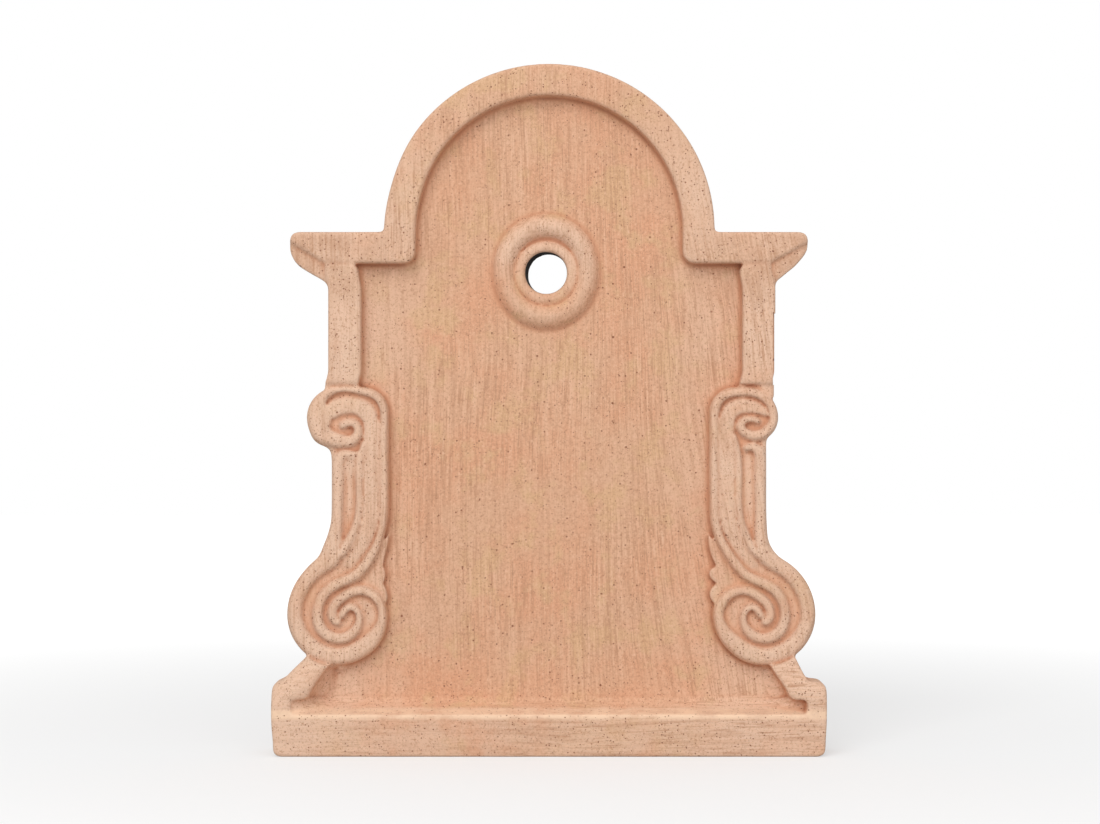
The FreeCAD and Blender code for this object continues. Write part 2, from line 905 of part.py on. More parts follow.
def main():
    os.makedirs("parts", exist_ok=True)
    base = plinth()
    export(base, "plinth")
    consoles = {}
    straps = {}
    for side in ("left", "right"):
        consoles[side] = console_face(side)
        straps[side] = strap_face(side)
        body = prism(consoles[side], field_depth, floor_depth)
        tall_body = prism(consoles[side], field_depth, plinth_depth)
        outer = strand(outer_strand_route(side))
        inner = strand(inner_strand_route(side)).cut(outer)
        middle = strand(middle_strand_route(side)).cut(outer).cut(inner)
        pieces = {
            "console_body": body,
            "outer_strand": outer,
            "inner_strand": inner,
            "middle_strand": middle,
            "stem_band": stem_band(side).cut(outer).cut(inner).cut(middle),
            "leaf_sprig": prism(leaf_face(), field_depth, field_depth + leaf_relief),
            "strap": strap(side, tall_body),
            "plinth_block": plinth_block(base),
            "cornice": cornice(),
            "cornice_ear": cornice_ear(),
            "pilaster": pilaster(),
            "back_rim": side_back_rim(),
        }
        for name, shape in pieces.items():
            export(on_side(shape, side), side + "_" + name)
    export(field_slab(consoles, straps), "field_slab")
    export(arch_moulding(), "arch_moulding")
    export(spout_boss(), "spout_boss")
    export(spout_collar(), "spout_collar")
    export(arch_back_rim(), "arch_back_rim")
    export(back_rib(lower_rib_height), "lower_back_rib")
    export(back_rib(upper_rib_height), "upper_back_rib")


main()
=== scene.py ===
import math

import bmesh
import bpy
import numpy as np
from bpy.props import FloatProperty, FloatVectorProperty, IntProperty, PointerProperty
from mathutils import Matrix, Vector

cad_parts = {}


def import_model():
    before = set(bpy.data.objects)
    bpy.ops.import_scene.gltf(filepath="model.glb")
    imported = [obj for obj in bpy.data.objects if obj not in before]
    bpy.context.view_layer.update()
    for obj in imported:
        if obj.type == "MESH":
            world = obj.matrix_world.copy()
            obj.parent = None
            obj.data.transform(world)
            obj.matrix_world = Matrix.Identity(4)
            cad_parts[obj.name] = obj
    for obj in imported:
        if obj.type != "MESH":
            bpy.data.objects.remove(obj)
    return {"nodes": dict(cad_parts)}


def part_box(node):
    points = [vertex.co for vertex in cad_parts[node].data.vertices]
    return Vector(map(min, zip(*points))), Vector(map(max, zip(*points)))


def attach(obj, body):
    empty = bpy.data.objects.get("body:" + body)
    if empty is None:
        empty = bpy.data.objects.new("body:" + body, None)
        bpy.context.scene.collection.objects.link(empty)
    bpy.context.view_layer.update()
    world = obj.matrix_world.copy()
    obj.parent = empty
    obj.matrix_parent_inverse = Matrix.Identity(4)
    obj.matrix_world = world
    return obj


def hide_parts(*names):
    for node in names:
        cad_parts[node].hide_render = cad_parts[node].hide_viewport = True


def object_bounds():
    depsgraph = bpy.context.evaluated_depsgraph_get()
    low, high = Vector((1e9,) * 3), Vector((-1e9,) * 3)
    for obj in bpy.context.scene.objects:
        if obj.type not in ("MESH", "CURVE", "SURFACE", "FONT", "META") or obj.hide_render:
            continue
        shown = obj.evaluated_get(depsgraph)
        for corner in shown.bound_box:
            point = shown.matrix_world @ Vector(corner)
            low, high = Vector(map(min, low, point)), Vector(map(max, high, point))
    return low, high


bl_info = {
    "name": "Garden wall fountain",
    "version": (1, 0, 0),
    "blender": (4, 5, 0),
    "location": "View3D > Sidebar > Fountain",
    "description": "Soft pressed terracotta surfaces for the wall fountain's packed frame",
    "category": "Object",
}

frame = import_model()
CAD_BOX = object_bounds()

# Boxes of CAD nodes, as their lowest and highest corners in metres
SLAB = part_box("field_slab")
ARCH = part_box("arch_moulding")
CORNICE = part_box("right_cornice")
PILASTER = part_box("right_pilaster")
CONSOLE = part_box("right_console_body")
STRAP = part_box("right_strap")
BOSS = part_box("spout_boss")
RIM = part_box("right_back_rim")
ARCH_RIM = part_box("arch_back_rim")

MM = 0.001
SIDES = {"left": -1, "right": 1}

FIELD_Y = SLAB[0].y
BACK_Y = SLAB[1].y
MIDDLE_Y = (FIELD_Y + BACK_Y) / 2

# The spout's hole, whose back end lies off its front end by the lean
SPOUT = (BOSS[0] + BOSS[1]) / 2
HOLE = 21 * MM
BORE_LEAN = Vector((3.5 * MM, 0, -2 * MM))

# The lower volutes, as on the right side
VOLUTE_RADIUS = 51 * MM
VOLUTE_X = CONSOLE[1].x - VOLUTE_RADIUS
VOLUTE_Z = CONSOLE[0].z + VOLUTE_RADIUS

# Lower end of the pilasters' clay, just under the joint with the consoles
JOINT_Z = PILASTER[0].z - 0.8 * MM

# Meshes that only serve while the clay is parted
STAGES = (
    "pressed_clay",
    "pressed_back",
    "clay_relief",
    "clay_slab",
    "clay_slab_back",
    "clay_back",
)

# The foot of the field, between the plinth and the straps
PLINTH_EDGE = SLAB[0].z - 5 * MM
PLINTH_TOP = SLAB[0].z + 4.5 * MM
FOOT_SIDE = STRAP[0].x - 30 * MM
FOOT_TOP = SLAB[0].z + 21 * MM


# Settings


class ClaySettings(bpy.types.PropertyGroup):
    """Sizes of the pressed clay surface"""

    voxel: FloatProperty(
        name="Grain of the surface",
        description="Distance between points of the pressed clay surface",
        default=0.0015,
        unit="LENGTH",
    )
    back_voxel: FloatProperty(
        name="Grain of the back",
        description="Distance between points of the surface at the back",
        default=0.003,
        unit="LENGTH",
    )
    softness: IntProperty(
        name="Softness",
        description="How many times the surface is smoothed",
        default=11,
        min=0,
    )
    lip: FloatProperty(
        name="Lip",
        description="Relief pieces are parted from the slab this far off its faces",
        default=0.0004,
        unit="LENGTH",
    )
    boss_width: FloatProperty(
        name="Boss width",
        description="Width of the boss as a part of its round form",
        default=0.963,
    )
    boss_height: FloatProperty(
        name="Boss height",
        description="Height of the boss as a part of its round form",
        default=1.046,
    )


class FinishSettings(bpy.types.PropertyGroup):
    """Colours of the fired clay"""

    clay: FloatVectorProperty(
        name="Clay",
        description="Main colour of the brushed clay",
        subtype="COLOR",
        default=(0.665, 0.395, 0.255),
        min=0,
        max=1,
    )
    # Colour of the painted shade in concave corners
    corner_shade_clay: FloatVectorProperty(
        name="Deep clay",
        description="Colour left in corners and hollows",
        subtype="COLOR",
        default=(0.36, 0.145, 0.08),
        min=0,
        max=1,
    )
    # Also the base tone of the painted highlights on edges, the boss and the plinth
    clay_pale: FloatVectorProperty(
        name="Pale clay",
        description="Colour of worn arrises",
        subtype="COLOR",
        default=(0.72, 0.49, 0.355),
        min=0,
        max=1,
    )
    pore: FloatVectorProperty(
        name="Pore",
        description="Colour of the small dark pores",
        subtype="COLOR",
        default=(0.27, 0.11, 0.06),
        min=0,
        max=1,
    )


# Material groups


def new_group(name, inputs, outputs):
    """Empty shader node group with named sockets."""
    group = bpy.data.node_groups.new(name, "ShaderNodeTree")
    for direction, sockets in (("INPUT", inputs), ("OUTPUT", outputs)):
        for socket_name, kind, value in sockets:
            socket = group.interface.new_socket(
                name=socket_name, in_out=direction, socket_type=kind
            )
            if value is not None:
                socket.default_value = value
    entry = group.nodes.new("NodeGroupInput")
    leave = group.nodes.new("NodeGroupOutput")
    return group, entry, leave


def add(tree, kind, **values):
    """New node with its properties set and its inputs set or linked."""
    node = tree.nodes.new(kind)
    inputs = values.pop("inputs", {})
    for key, value in values.items():
        setattr(node, key, value)
    for key, value in inputs.items():
        if isinstance(value, bpy.types.NodeSocket):
            tree.links.new(value, node.inputs[key])
        else:
            node.inputs[key].default_value = value
    return node


def math_node(tree, operation, first, second=0.0, clamp=False):
    return add(
        tree,
        "ShaderNodeMath",
        operation=operation,
        use_clamp=clamp,
        inputs={0: first, 1: second},
    ).outputs[0]


def spread(tree, value, low, high, to_low=0.0, to_high=1.0):
    """Value spread from one range onto another, and held inside it."""
    return add(
        tree,
        "ShaderNodeMapRange",
        interpolation_type="SMOOTHSTEP",
        inputs={0: value, 1: low, 2: high, 3: to_low, 4: to_high},
    ).outputs[0]


def mix_colour(tree, factor, first, second):
    """Colour from the first at factor 0 to the second at 1."""
    node = add(tree, "ShaderNodeMix", data_type="RGBA", inputs={0: factor})
    for key, value in ((6, first), (7, second)):
        if isinstance(value, bpy.types.NodeSocket):
            tree.links.new(value, node.inputs[key])
        else:
            node.inputs[key].default_value = (*value[:3], 1)
    return node.outputs[2]


def brush_streak_group():
    """Fine streaks left by a wet brush, along one axis of the piece."""
    group, entry, leave = new_group(
        "brush_streaks",
        [
            ("Vector", "NodeSocketVector", None),
            ("Across", "NodeSocketFloat", 620.0),
            ("Along", "NodeSocketFloat", 23.0),
            ("Lean", "NodeSocketFloat", 0.0),
        ],
        [("Streaks", "NodeSocketFloat", None), ("Fine", "NodeSocketFloat", None)],
    )
    drift = add(
        group,
        "ShaderNodeTexNoise",
        inputs={"Vector": entry.outputs["Vector"], "Scale": 3.5, "Detail": 1.0},
    )
    sway = add(
        group,
        "ShaderNodeVectorMath",
        operation="SCALE",
        inputs={0: drift.outputs["Color"], "Scale": 0.022},
    )
    swayed = add(
        group,
        "ShaderNodeVectorMath",
        operation="ADD",
        inputs={0: entry.outputs["Vector"], 1: sway.outputs[0]},
    )
    parts = add(group, "ShaderNodeSeparateXYZ", inputs={0: swayed.outputs[0]})
    lean = math_node(group, "MULTIPLY", entry.outputs["Lean"], parts.outputs["Z"])
    leaning = math_node(group, "ADD", parts.outputs["X"], lean)
    levels = []
    for factor, detail in ((1.0, 3.0), (0.4, 2.0)):
        across = math_node(group, "MULTIPLY", entry.outputs["Across"], factor)
        along = math_node(group, "MULTIPLY", entry.outputs["Along"], factor)
        wide = math_node(group, "MULTIPLY", leaning, across)
        deep = math_node(group, "MULTIPLY", parts.outputs["Y"], across)
        tall = math_node(group, "MULTIPLY", parts.outputs["Z"], along)
        stretched = add(group, "ShaderNodeCombineXYZ", inputs={0: wide, 1: deep, 2: tall})
        noise = add(
            group,
            "ShaderNodeTexNoise",
            inputs={"Vector": stretched.outputs[0], "Scale": 1.0, "Detail": detail},
        )
        levels.append(noise.outputs["Fac"])
    group.links.new(levels[1], leave.inputs["Streaks"])
    group.links.new(levels[0], leave.inputs["Fine"])
    return group


# Pores: cells per metre, radius as a part of a cell, share of cells with a pore
PORES = (
    (80.0, 0.12, 0.36),
    (170.0, 0.19, 0.36),
    (330.0, 0.30, 0.30),
    (520.0, 0.40, 0.20),
)

# Noises over the clay: scale per metre, detail, roughness
NOISES = {
    "cloud": (9.0, 4.0, 0.6),
    "patch": (34.0, 4.0, 0.65),
    "tint": (22.0, 3.0, 0.6),
    "grit": (430.0, 4.0, 0.85),
    "work": (6.0, 3.0, 0.6),
}

# Effects of the noises: noise, values where each starts and is full, least, most
NOISE_EFFECTS = {
    "redness": ("cloud", 0.36, 0.62, 0.0, 1.0),
    "ochre": ("tint", 0.50, 0.64, 0.0, 0.9),
    "bloom": ("patch", 0.34, 0.60, 0.25, 0.75),
    "dusting_and_highlight": ("cloud", 0.34, 0.58, 0.15, 0.7),
    # Patches darker along the cornices
    "cornice_darkening": ("patch", 0.34, 0.60, 0.1, 0.5),
    "worked": ("work", 0.38, 0.60, 0.35, 1.0),
    "fleck": ("grit", 0.49, 0.33, 0.0, 0.9),
    "glint": ("grit", 0.53, 0.69, 0.0, 0.9),
    "broken": ("patch", 0.32, 0.58, 0.35, 1.0),
    "pitted": ("patch", 0.30, 0.66, 0.45, 1.0),
}

# Effects by place: where each starts and is full, least, most. Distances round
# the spout are squared
PLACE_EFFECTS = {
    "raised": (FIELD_Y - 5 * MM, FIELD_Y - 15 * MM),
    "crown": (ARCH[1].z - 0.13, ARCH[1].z - 0.03, 1.0, 0.15),
    "side": (0.09, 0.23),
    "boss": (0.060**2, 0.048**2, 0.0, 0.9),
    # Upper half of the boss, which gets a painted highlight
    "boss_top_highlight": (-0.03, 0.02),
    "cornice": (0.05, 0.02),
    # Plinth's front edge, which gets a painted highlight
    "ledge_highlight": (7 * MM, 2 * MM),
    # Round the spout's hole, for its painted shade
    "bore_shade": ((HOLE + 4 * MM) ** 2, (HOLE + 3 * MM) ** 2),
    "inside": (FIELD_Y - 3 * MM, FIELD_Y - MM),
}
RIGHT_LEAN = (0.02, 0.14, 0.0, 0.15)
LEAST_PITTED = 0.7

# Tones: the colour that each starts from, and how its channels are scaled
TONES = {
    "darker": ("clay", (0.70, 0.62, 0.56)),
    "redder": ("clay", (1.02, 0.89, 0.84)),
    "ochre": ("clay", (0.98, 1.02, 0.90)),
    "lighter": ("clay", (1.14, 1.22, 1.28)),
    # Painted shade with reddish bounce light in wide hollows
    "hollow_shade_red": ("clay", (1.04, 0.78, 0.62)),
    # Pale tone of the dusting near the outline and of the painted highlight on the boss
    "dusting_and_highlight_tone": ("pale", (1.09, 1.13, 1.17)),
    # Paler tone of the painted highlight on the plinth's front edge
    "ledge_highlight": ("pale", (1.20, 1.24, 1.20)),
}
# Near-black painted shade on the spout hole's wall, deep behind the field's face
BORE_SHADE_COLOUR = (0.012, 0.008, 0.006)

# Streak layers: kind of streak, values where it starts and is full, strength, tone
STREAK_LAYERS = (
    ("Streaks", 0.54, 0.34, 0.38, "darker"),
    ("Streaks", 0.54, 0.72, 0.42, "lighter"),
    ("Fine", 0.48, 0.30, 0.75, "darker"),
    ("Fine", 0.53, 0.72, 0.65, "lighter"),
)


def pore_group():
    """Small dark pits of several sizes, fewer where the patches are low."""
    group, entry, leave = new_group(
        "clay_pores",
        [("Vector", "NodeSocketVector", None), ("Share", "NodeSocketFloat", 1.0)],
        [("Pores", "NodeSocketFloat", None)],
    )
    total = None
    for scale, size, chance in PORES:
        spots = add(
            group,
            "ShaderNodeTexVoronoi",
            inputs={"Vector": entry.outputs["Vector"], "Scale": scale},
        )
        picked = add(group, "ShaderNodeSeparateColor", inputs={0: spots.outputs["Color"]})
        limit = math_node(group, "MULTIPLY", entry.outputs["Share"], chance)
        chosen = math_node(group, "LESS_THAN", picked.outputs[0], limit)
        varied = spread(group, picked.outputs[1], 0.0, 1.0, size * 0.45, size)
        inner = math_node(group, "MULTIPLY", varied, 0.5)
        inside = add(
            group,
            "ShaderNodeMapRange",
            inputs={0: spots.outputs["Distance"], 1: inner, 2: varied, 3: 1.0, 4: 0.0},
        ).outputs[0]
        pit = math_node(group, "MULTIPLY", inside, chosen)
        total = pit if total is None else math_node(group, "MAXIMUM", total, pit)
    group.links.new(total, leave.inputs["Pores"])
    return group


def shade(colour, scales):
    """A colour with each channel scaled, held below 1."""
    return tuple(min(1.0, channel * scale) for channel, scale in zip(colour, scales))


def product(tree, first, *others):
    for other in others:
        first = math_node(tree, "MULTIPLY", first, other)
    return first


def distance_from(tree, value, place):
    """How far a coordinate lies from a place on its axis."""
    return math_node(tree, "ABSOLUTE", math_node(tree, "SUBTRACT", value, place))


def brush_streaks(tree, place, where, axis, group):
    """Streak values along one axis. Upright ones lean a little on the right."""
    turn = (0.0, math.pi / 2, 0.0) if axis == "x" else (0.0, 0.0, 0.0)
    turned = add(tree, "ShaderNodeMapping", inputs={"Vector": place, "Rotation": turn})
    lean = 0.0
    if axis == "z":
        lean = spread(tree, where["X"], *RIGHT_LEAN)
    return add(
        tree,
        "ShaderNodeGroup",
        node_tree=group,
        inputs={"Vector": turned.outputs[0], "Lean": lean},
    ).outputs


def noise_effects(tree, place):
    """The noises over the clay, and what they do."""
    noise = {}
    for kind, (scale, detail, roughness) in NOISES.items():
        settings = {"Scale": scale, "Detail": detail, "Roughness": roughness}
        node = add(tree, "ShaderNodeTexNoise", inputs={"Vector": place, **settings})
        noise[kind] = node.outputs["Fac"]
    effects = {
        name: spread(tree, noise[kind], *levels)
        for name, (kind, *levels) in NOISE_EFFECTS.items()
    }
    return noise, effects


def place_effects(tree, where):
    """What the place on the panel does."""
    across = math_node(tree, "SUBTRACT", where["X"], SPOUT.x)
    up = math_node(tree, "SUBTRACT", where["Z"], SPOUT.z)
    squares = [math_node(tree, "POWER", value, 2.0) for value in (across, up)]
    reach = math_node(tree, "ADD", *squares)
    measures = {
        "raised": where["Y"],
        "crown": where["Z"],
        "side": distance_from(tree, where["X"], 0.0),
        "boss": reach,
        "boss_top_highlight": up,
        "cornice": distance_from(tree, where["Z"], CORNICE[0].z),
        "ledge_highlight": distance_from(tree, where["Z"], PLINTH_EDGE),
        "bore_shade": reach,
        "inside": where["Y"],
    }
    return {
        name: spread(tree, value, *PLACE_EFFECTS[name])
        for name, value in measures.items()
    }


def weathered(tree, tones, effects):
    """Colour of the clay with its pale bloom, pale dusting near the outline, a painted
    highlight on the boss's upper half, and darkening along the cornices.
    """
    colour = mix_colour(tree, effects["redness"], tones["redder"], tones["clay"])
    colour = mix_colour(tree, effects["ochre"], colour, tones["ochre"])
    bloom = product(tree, effects["bloom"], effects["raised"], effects["crown"])
    colour = mix_colour(tree, bloom, colour, tones["pale"])

    # Pale dusting near the outline, and a painted highlight on the upper half of the boss,
    # where light from above falls
    boss = product(tree, effects["boss"], effects["boss_top_highlight"])
    dusting_and_highlight_mask = math_node(tree, "MAXIMUM", effects["side"], boss)
    dusting_and_highlight = product(tree, effects["dusting_and_highlight"], dusting_and_highlight_mask)
    colour = mix_colour(tree, dusting_and_highlight, colour, tones["dusting_and_highlight_tone"])

    # Darker in patches along the cornices' lower edges, towards the sides
    cornice_darkening = product(tree, effects["cornice_darkening"], effects["cornice"], effects["side"])
    return mix_colour(tree, cornice_darkening, colour, tones["darker"])


def brushed(tree, colour, tones, effects, streaks):
    """Colour with the brush's streaks and grit over it."""
    for kind, low, high, most, tone in STREAK_LAYERS:
        streak = spread(tree, streaks[kind], low, high, 0.0, most)
        streak = product(tree, streak, effects["worked"])
        colour = mix_colour(tree, streak, colour, tones[tone])
    colour = mix_colour(tree, effects["fleck"], colour, tones["darker"])
    return mix_colour(tree, effects["glint"], colour, tones["lighter"])


def worn(tree, colour, tones, effects):
    """Colour with pale edges, partly wear and partly painted highlight, a painted highlight
    along the plinth's front edge, and painted shade in hollows and corners, by the
    surface's marks.
    """
    marks = {
        name: add(tree, "ShaderNodeAttribute", attribute_name=name).outputs["Fac"]
        for name in MARKS
    }
    # Pale convex edges, partly wear and partly painted highlight
    edge = math_node(tree, "MULTIPLY", marks["arris_wear_and_highlight"], effects["broken"], clamp=True)
    colour = mix_colour(tree, edge, colour, tones["pale"])
    # Painted highlight along the plinth's rounded front edge, where light from above falls
    ledge_highlight = product(tree, effects["ledge_highlight"], effects["raised"], effects["broken"])
    colour = mix_colour(tree, ledge_highlight, colour, tones["ledge_highlight"])
    # Painted shade with reddish bounce light in wide hollows
    colour = mix_colour(tree, marks["hollow"], colour, tones["hollow_shade_red"])
    # Painted shade in concave corners
    return mix_colour(tree, marks["corner"], colour, tones["deep"])


def mixed_tones(finish):
    """The finish's colours, and the tones made from them."""
    tones = {
        "clay": tuple(finish.clay),
        "pale": tuple(finish.clay_pale),
        "deep": tuple(finish.corner_shade_clay),
        "pore": tuple(finish.pore),
    }
    for tone, (base, scales) in TONES.items():
        tones[tone] = shade(tones[base], scales)
    return tones


def terracotta(name, streak_axis, tones, groups):
    """Matt brushed terracotta. Streaks run along one axis, z or x."""
    material = bpy.data.materials.new(name)
    material.use_nodes = True
    tree = material.node_tree
    shader = tree.nodes["Principled BSDF"]
    place = add(tree, "ShaderNodeTexCoord").outputs["Object"]
    where = add(tree, "ShaderNodeSeparateXYZ", inputs={0: place}).outputs
    streaks = brush_streaks(tree, place, where, streak_axis, groups["streaks"])
    noise, effects = noise_effects(tree, place)
    effects.update(place_effects(tree, where))
    open_clay = spread(tree, effects["raised"], 0.0, 1.0, LEAST_PITTED, 1.0)
    share = product(tree, effects["pitted"], open_clay)
    pores = add(
        tree,
        "ShaderNodeGroup",
        node_tree=groups["pores"],
        inputs={"Vector": place, "Share": share},
    ).outputs[0]

    colour = weathered(tree, tones, effects)
    colour = brushed(tree, colour, tones, effects, streaks)
    colour = worn(tree, colour, tones, effects)
    colour = mix_colour(tree, pores, colour, tones["pore"])
    # Painted shade: the spout hole's wall behind the field's face turns near-black
    bore_shade = product(tree, effects["bore_shade"], effects["inside"])
    colour = mix_colour(tree, bore_shade, colour, BORE_SHADE_COLOUR)
    tree.links.new(colour, shader.inputs["Base Color"])
    shader.inputs["Roughness"].default_value = 0.92
    shader.inputs["Specular IOR Level"].default_value = 0.15

    ridges = [product(tree, streaks["Fine"], 0.6), product(tree, noise["grit"], 0.5)]
    height = math_node(tree, "SUBTRACT", math_node(tree, "ADD", *ridges), pores)
    bump = add(
        tree,
        "ShaderNodeBump",
        inputs={"Strength": 0.6, "Distance": 0.8 * MM, "Height": height},
    )
    tree.links.new(bump.outputs[0], shader.inputs["Normal"])
    return material


# Pressed clay: one soft surface over every piece of the frame


def join_in(joined, piece):
    """Adds a bmesh to another one and frees it."""
    scratch = bpy.data.meshes.new("scratch")
    piece.to_mesh(scratch)
    joined.from_mesh(scratch)
    piece.free()
    bpy.data.meshes.remove(scratch)


def merged_copy(names, shape):
    """Closed copies of CAD nodes in one bmesh, each put in shape first."""
    joined = bmesh.new()
    for name in names:
        piece = bmesh.new()
        piece.from_mesh(frame["nodes"][name].data)
        bmesh.ops.remove_doubles(piece, verts=piece.verts, dist=0.01 * MM)
        shape(name, piece)
        join_in(joined, piece)
    return joined


def add_hull(joined, points, signs=(-1, 1)):
    """Lump of clay round a few points, on the sides asked for."""
    for sign in signs:
        lump = bmesh.new()
        for x, y, z in points:
            lump.verts.new((sign * x, y, z))
        bmesh.ops.convex_hull(lump, input=lump.verts)
        bmesh.ops.recalc_face_normals(lump, faces=lump.faces)
        join_in(joined, lump)


def add_lump(joined, sign, corners):
    """Lump on one side, from its front corners back into the slab."""
    points = []
    for x, forward, z in corners:
        points.append((x, FIELD_Y - forward, z))
        points.append((x, FIELD_Y + MM, z))
    add_hull(joined, points, (sign,))


# Cove along the foot of the field: y from its face and z from its lower edge
COVE = ((-0.012, -0.0015), (-0.007, 0.001), (-0.003, 0.0045), (-0.001, 0.0085))

# Clay under each strap: side, and how far forward it comes at the block
UNDER_STRAPS = ((-1, 0.030), (1, 0.019))

# Clay beside each strap: side, how far forward it comes, reach over the field.
# Then x and z of the strap's inner edge, as on the right side
BESIDE_STRAPS = ((-1, 0.016, 0.024), (1, 0.007, 0.016))
STRAP_EDGE_FOOT = (0.242, 0.054)
STRAP_EDGE_HEAD = (0.224, 0.098)

# Clay over each joint under a pilaster: side, outer x, inner x, depth under the joint
JOINT_CLAY = ((-1, 0.2245, 0.206, 0.005), (1, 0.2255, 0.196, 0.013))

# Clay in the top of the left stem's channel: x, then how far forward and how high
CHANNEL_X = (0.190, 0.207)
CHANNEL_FILL = ((0.0165, 0.303), (0.0112, 0.266))


def add_foot_clay(joined):
    """Cove along the foot of the field, and clay pushed in round the straps."""
    low = SLAB[0].z
    sunk = low - 4 * MM
    for near, far in zip(COVE[:-1], COVE[1:]):
        points = []
        for x in (0.0, STRAP[1].x - 10 * MM):
            points.append((x, FIELD_Y + near[0], low + near[1]))
            points.append((x, FIELD_Y + far[0], low + far[1]))
            points.append((x, FIELD_Y + 2 * MM, low + far[1]))
            points.append((x, FIELD_Y + 2 * MM, sunk))
        add_hull(joined, points)
    under = STRAP[0].z + 2 * MM
    block = STRAP[1].x - 18 * MM
    for sign, full in UNDER_STRAPS:
        sections = (
            (block - 58 * MM, 0.5 * MM, low + 4 * MM),
            (block - 20 * MM, full * 0.5, under - 2 * MM),
            (block, full, under),
        )
        corners = []
        for x, forward, top in sections:
            corners += [(x, forward, sunk), (x, forward, top)]
        add_lump(joined, sign, corners)
    thin = 0.2 * MM
    foot_x, foot_z = STRAP_EDGE_FOOT
    head_x, head_z = STRAP_EDGE_HEAD
    for sign, full, reach in BESIDE_STRAPS:
        corners = (
            (foot_x, full, foot_z),
            (foot_x - reach, thin, foot_z - 6 * MM),
            (head_x, full, head_z),
            (head_x - reach, thin, head_z - 3 * MM),
        )
        add_lump(joined, sign, corners)


def add_scroll_clay(joined):
    """Clay smeared over the joints under the pilasters and into one channel."""
    joint = PILASTER[0].z
    for sign, outer, inner, depth in JOINT_CLAY:
        sections = ((inner, 8 * MM), (outer - 10.5 * MM, 15 * MM), (outer, 14 * MM))
        corners = []
        for x, forward in sections:
            corners += [(x, forward, joint - depth), (x, forward, joint + 3 * MM)]
        add_lump(joined, sign, corners)
    add_lump(joined, -1, [(x, *corner) for x in CHANNEL_X for corner in CHANNEL_FILL])


def remeshed(bm, voxel):
    """Mesh of even small faces over closed shapes, lightly smoothed."""
    mesh = bpy.data.meshes.new("clay_blank")
    bm.to_mesh(mesh)
    blank = bpy.data.objects.new("clay_blank", mesh)
    bpy.context.scene.collection.objects.link(blank)
    remesh = blank.modifiers.new("Remesh", "REMESH")
    remesh.mode = "VOXEL"
    remesh.voxel_size = voxel
    smooth = blank.modifiers.new("Smooth", "SMOOTH")
    smooth.factor = 0.5
    smooth.iterations = 3
    graph = bpy.context.evaluated_depsgraph_get()
    result = bpy.data.meshes.new_from_object(blank.evaluated_get(graph))
    bpy.data.objects.remove(blank)
    bpy.data.meshes.remove(mesh)
    result.name = "pressed_clay"
    return result


def read(collection, key, width, kind=np.float64):
    values = np.empty(len(collection) * width, dtype=kind)
    collection.foreach_get(key, values)
    return values.reshape(-1, width)


def evened(values, edges, times, share=0.5):
    """Values at the vertices, each mixed with the mean of its neighbours."""
    count = len(values)
    degree = np.bincount(edges.ravel(), minlength=count).astype(float)
    for _ in range(times):
        total = np.empty_like(values)
        for axis in range(values.shape[1]):
            column = values[:, axis]
            low = np.bincount(edges[:, 0], weights=column[edges[:, 1]], minlength=count)
            high = np.bincount(edges[:, 1], weights=column[edges[:, 0]], minlength=count)
            total[:, axis] = (low + high) / degree
        values = values + share * (total - values)
    return values


def step(values, low, high):
    """Smooth step from 0 at low to 1 at high."""
    t = np.clip((values - low) / (high - low), 0, 1)
    return t * t * (3 - 2 * t)


def band(values, start, full, fading, end):
    """1 from full to fading, and 0 before start and after end."""
    return step(values, start, full) * (1 - step(values, fading, end))


def near_to(values, place, reach):
    """1 at a place, falling off smoothly over the reach to both sides."""
    return np.exp(-0.5 * ((values - place) / reach) ** 2)


# Corner and hollow set painted shade in concave places; the third mark sets pale convex
# edges, partly wear and partly painted highlight
# Marks: depth where each starts and is full, and its greatest strength
MARKS = {
    "corner": (0.05 * MM, 0.40 * MM, 0.8),
    "hollow": (0.20 * MM, 1.9 * MM, 0.55),
    "arris_wear_and_highlight": (0.04 * MM, 0.35 * MM, 0.5),
}


def mark_relief(mesh):
    """Writes how hollow or how sharp the surface is at each vertex, as masks for painted
    shade in hollows and corners and for pale edges.
    """
    points = read(mesh.vertices, "co", 3)
    normals = read(mesh.vertex_normals, "vector", 3)
    edges = read(mesh.edges, "vertices", 2, np.int32)
    near = evened(points, edges, 4)
    wide = evened(near, edges, 36)
    fine_depth = np.einsum("ij,ij->i", near - points, normals)
    wide_depth = np.einsum("ij,ij->i", wide - points, normals)
    depths = {"corner": fine_depth, "hollow": wide_depth, "arris_wear_and_highlight": -fine_depth}

    # Painted shade in corners and hollows is weaker along the foot and beside the left
    # strap
    x, z = points[:, 0], points[:, 2]
    foot = (1 - step(z, STRAP[0].z - MM, STRAP[0].z + MM)) * step(-x, -0.23, -0.19)
    beside = near_to(x, -0.225, 14 * MM) * near_to(z, 0.075, 18 * MM)
    kept = 1 - np.maximum(0.9 * foot, 0.8 * beside)
    # Painted highlight: convex edges are paler still along the plinth's front edge
    ledge_highlight_boost = 1 + near_to(z, PLINTH_EDGE, 3 * MM)
    shares = {"corner": kept, "hollow": kept, "arris_wear_and_highlight": ledge_highlight_boost}
    marks = {
        name: step(depths[name], low, high) * most * shares[name]
        for name, (low, high, most) in MARKS.items()
    }
    for name, values in marks.items():
        layer = mesh.attributes.new(name, "FLOAT", "POINT")
        layer.data.foreach_set("value", evened(values[:, None], edges, 2).ravel())


# Heights where the stems turn soft and firm again, and the left stem's soft hook
STEM_SPAN = (0.225, 0.245, 0.305, 0.320)
HOOK_Z = 0.298
HOOK_SIDE = (0.18, 0.19)
LEAST_SOFT = 0.12
MORE_SOFT = 0.38


